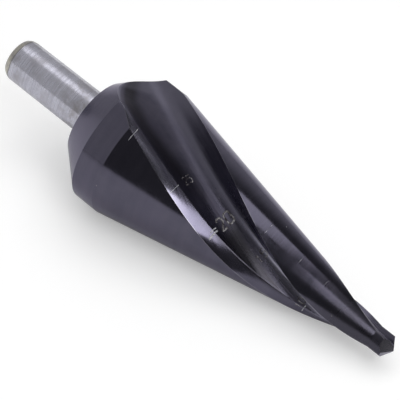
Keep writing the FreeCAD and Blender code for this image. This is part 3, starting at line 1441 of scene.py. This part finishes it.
@dataclass(frozen=True)
class GroundSteel:
    """Bright ground steel of the shank, with grinding lines round it and a few stains.

    Spans are heights in millimetres, and grains and the relief are as in the coating.
    """

    effects: Effects
    colour: Colour = (0.63, 0.63, 0.72)
    lined: Colour = (0.48, 0.475, 0.55)
    stained: Colour = (0.36, 0.34, 0.36)
    rolled: Colour = (0.52, 0.5, 0.44)
    ring: Colour = (0.2, 0.19, 0.18)
    fine_grain: Span = (0.45, 16.0)
    broad_grain: Span = (2.6, 30.0)
    relief: Span = (0.25, 0.02)
    stain_size: float = 3.2
    stain_cover: float = 0.5
    end_stains: Span = (0.0, 7.0)
    neck_stains: Span = (13.0, 21.0)
    stain_share: float = 0.35
    stain_share_handled: float = 0.95
    rolled_ends: Span = (1.0, 1.5)
    ring_height: float = 1.3
    ring_width: float = 0.22
    ring_share: float = 0.7
    roughness: float = 0.22
    line_roughness: float = 0.1
    stain_roughness: float = 0.12

    def material(self) -> bpy.types.Material:
        """Builds the material.

        Returns:
            The material of the shank.
        """
        desk, material, shader = NodeDesk.of_material("ground_steel")
        around, height = desk.spot("surface")
        lines = desk.effect(self.effects.lines, height, around, *self.fine_grain)
        broad = desk.effect(self.effects.lines, height, around, *self.broad_grain)
        clouds = desk.effect(self.effects.stains, self.stain_size, self.stain_cover)
        handled = desk.calc("MAXIMUM", desk.fall(height, *self.end_stains),
                            desk.rise(height, *self.neck_stains))
        stains = desk.times(clouds, desk.blend(handled, self.stain_share, self.stain_share_handled))
        from_ring = desk.calc("SUBTRACT", height, self.ring_height)
        ring = desk.effect(self.effects.wear, from_ring, self.ring_width)

        both = desk.times(desk.calc("ADD", lines, broad), 0.5)
        colour = desk.tint(both, self.colour, self.lined)
        colour = desk.tint(desk.fall(height, *self.rolled_ends), colour, self.rolled)
        colour = desk.tint(stains, colour, self.stained)
        colour = desk.tint(desk.times(ring, self.ring_share), colour, self.ring)
        desk.feed(colour, shader.inputs["Base Color"])
        gloss = desk.calc("ADD", self.roughness, desk.times(lines, self.line_roughness))
        gloss = desk.calc("ADD", gloss, desk.times(stains, self.stain_roughness))
        desk.feed(gloss, shader.inputs["Roughness"])
        desk.feed(desk.relief(lines, *self.relief), shader.inputs["Normal"])
        shader.inputs["Metallic"].default_value = 1.0
        return material


class Cut(Enum):
    """How an engraved mark looks: cut bright, burnt in by laser, or barely scored, which is also
    the finish of the painted glint specks.
    """

    BRIGHT = "cut_bright"
    BURNT = "cut_burnt"
    SCORED = "cut_scored"


@dataclass(frozen=True)
class MarkFinish:
    """Finish of the engraved marks, speckled where the cut is uneven."""

    effects: Effects
    kind: Cut

    LOOKS = {
        Cut.BRIGHT: ((0.3, 0.3, 0.33), (0.85, 0.84, 0.87), 0.5),
        Cut.BURNT: ((0.008, 0.003, 0.005), (0.36, 0.35, 0.36), 0.6),
        Cut.SCORED: ((0.05, 0.048, 0.06), (0.4, 0.39, 0.43), 0.8),
    }
    COVER = 0.5
    ROUGHNESS = (0.55, 0.35)
    RELIEF = (0.5, 0.03)

    def material(self) -> bpy.types.Material:
        """Builds the material.

        Returns:
            The material of marks of this kind.
        """
        desk, material, shader = NodeDesk.of_material(self.kind.value)
        dark, light, size = self.LOOKS[self.kind]
        speckles = desk.effect(self.effects.stains, size, self.COVER)
        desk.feed(desk.tint(speckles, dark, light), shader.inputs["Base Color"])
        desk.feed(desk.blend(speckles, *self.ROUGHNESS), shader.inputs["Roughness"])
        desk.feed(desk.relief(speckles, *self.RELIEF), shader.inputs["Normal"])
        return material


def toward(azimuth: float, elevation: float) -> Vector:
    """Unit direction at an azimuth from +X and an elevation over the table, in degrees."""
    flat = polar(math.cos(math.radians(elevation)), azimuth)
    return Vector((flat[0], flat[1], math.sin(math.radians(elevation))))


@dataclass(frozen=True)
class Softbox:
    """Rectangular lamp, placed by the two directions its long side runs between."""

    name: str
    start: Span
    end: Span
    width: float
    radiance: float
    distance: float = 0.8

    def build(self) -> None:
        """Adds the lamp, facing the drill."""
        first = toward(*self.start) * self.distance
        last = toward(*self.end) * self.distance
        middle = (first + last) / 2
        out = -middle.normalized()
        across = out.cross((last - first).normalized()).normalized()
        along = across.cross(out)
        light = bpy.data.lights.new(self.name, "AREA")
        light.shape = "RECTANGLE"
        light.size = (last - first).length
        light.size_y = 2 * self.distance * math.tan(math.radians(self.width / 2))
        light.energy = self.radiance * math.pi * light.size * light.size_y
        lamp = place_object(self.name, light)
        lamp.matrix_world = Matrix((along, across, -out)).transposed().to_4x4()
        lamp.location = middle


@dataclass(frozen=True)
class Studio:
    """Pale table, white surroundings, soft lamps and the camera."""

    camera_place: tuple[float, float, float] = (0.112186, -0.17737, 0.209112)
    camera_turn: tuple[float, float, float] = (46.241, -6.957, 38.647)
    camera_lens: float = 124.604
    camera_sensor: float = 36.0
    camera_near: float = 0.01
    rear_azimuth: float = 174.0
    rear_starts: Span = (-0.1, 0.16)
    front_level: float = 0.1
    rear_level: float = 0.5
    table_reach: float = 3.0
    table_roughness: float = 0.8
    table_pale: float = 0.98
    table_mirrored: float = 0.8
    table_seen: float = 0.72
    table_lift: float = 0.33
    softboxes: tuple[Softbox, ...] = (
        Softbox("side_lamp", (356.0, 61.0), (312.0, 39.0), 14.0, 4.5),
        Softbox("top_lamp", (72.0, 56.0), (350.0, 78.0), 11.0, 1.4),
        Softbox("rear_lamp", (112.0, 58.0), (175.0, 72.0), 16.0, 1.0),
    )
    fill_radiance: float = 0.9
    fill_size: float = 2.2
    fill_height: float = 1.2

    def build(self) -> None:
        """Sets up everything around the drill."""
        self._camera()
        self._table()
        self._world()
        for softbox in self.softboxes:
            softbox.build()
        self._fill()
        bpy.context.scene.view_settings.view_transform = "Standard"

    def _camera(self) -> None:
        """The camera at the photograph's viewing angle."""
        lens = bpy.data.cameras.new("camera")
        lens.sensor_width = self.camera_sensor
        lens.lens = self.camera_lens
        lens.clip_start = self.camera_near
        camera = place_object("camera", lens)
        camera.location = self.camera_place
        camera.rotation_euler = Euler([math.radians(turn) for turn in self.camera_turn])
        bpy.context.scene.camera = camera

    def _fill(self) -> None:
        """Wide soft light from above, which lifts the table without showing in the gloss."""
        light = bpy.data.lights.new("fill_lamp", "AREA")
        light.shape = "DISK"
        light.size = self.fill_size
        light.energy = self.fill_radiance * math.pi * math.pi * (light.size / 2) ** 2
        lamp = place_object("fill_lamp", light)
        lamp.location = (0.0, 0.0, self.fill_height)
        lamp.visible_glossy = False

    def _table(self) -> None:
        """The pale table, a little darker in reflections and to the camera, and lifted there."""
        mesh = bpy.data.meshes.new("table")
        corners = [(-1, -1), (1, -1), (1, 1), (-1, 1)]
        points = [(self.table_reach * x, self.table_reach * y, 0) for x, y in corners]
        mesh.from_pydata(points, [], [(0, 1, 2, 3)])
        table = place_object("table", mesh)
        desk, material, shader = NodeDesk.of_material("table_white")
        path = desk.add("ShaderNodeLightPath")
        glossy, camera = path.outputs["Is Glossy Ray"], path.outputs["Is Camera Ray"]
        pale, mirrored, seen = [
            (level,) * 3 for level in (self.table_pale, self.table_mirrored, self.table_seen)
        ]
        shade = desk.tint(camera, desk.tint(glossy, pale, mirrored), seen)
        desk.feed(shade, shader.inputs["Base Color"])
        shader.inputs["Emission Color"].default_value = WHITE
        desk.feed(desk.times(camera, self.table_lift), shader.inputs["Emission Strength"])
        shader.inputs["Roughness"].default_value = self.table_roughness
        shader.inputs["Specular IOR Level"].default_value = 0.0
        mesh.materials.append(material)

    def _world(self) -> None:
        """White to the camera, and graded from dark in front to light behind for all else."""
        world = bpy.data.worlds.new("studio")
        world.use_nodes = True
        bpy.context.scene.world = world
        desk = NodeDesk(world.node_tree)
        background = desk.tree.nodes["Background"]
        facing = desk.add("ShaderNodeVectorMath", operation="DOT_PRODUCT")
        facing.inputs[1].default_value = toward(self.rear_azimuth, 0.0)
        desk.feed(desk.add("ShaderNodeTexCoord").outputs["Generated"], facing.inputs[0])
        behind = desk.rise(facing.outputs["Value"], *self.rear_starts)
        level = desk.blend(behind, self.front_level, self.rear_level)
        camera = desk.add("ShaderNodeLightPath").outputs["Is Camera Ray"]
        desk.feed(desk.blend(camera, level, 1.0), background.inputs["Strength"])
        background.inputs["Color"].default_value = WHITE


def main() -> None:
    """Builds the drill and its surroundings in order."""
    logging.basicConfig(level=logging.INFO, format="%(name)s: %(message)s")
    effects = Effects.make()
    drill = DrillBody().build()
    drill.data.materials.append(CoatedSteel(effects).material())
    drill.data.materials.append(GroundSteel(effects).material())
    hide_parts("cone_drill")
    marks = DiameterScale().build()
    for piece, kind in zip(marks, Cut):
        piece.data.materials.append(MarkFinish(effects, kind).material())
    for piece in (drill, *marks):
        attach(piece, "root")
        log.info("%s: %d faces", piece.name, len(piece.data.polygons))
    Studio().build()
    log.info("studio built")


if __name__ == "__main__":
    main()
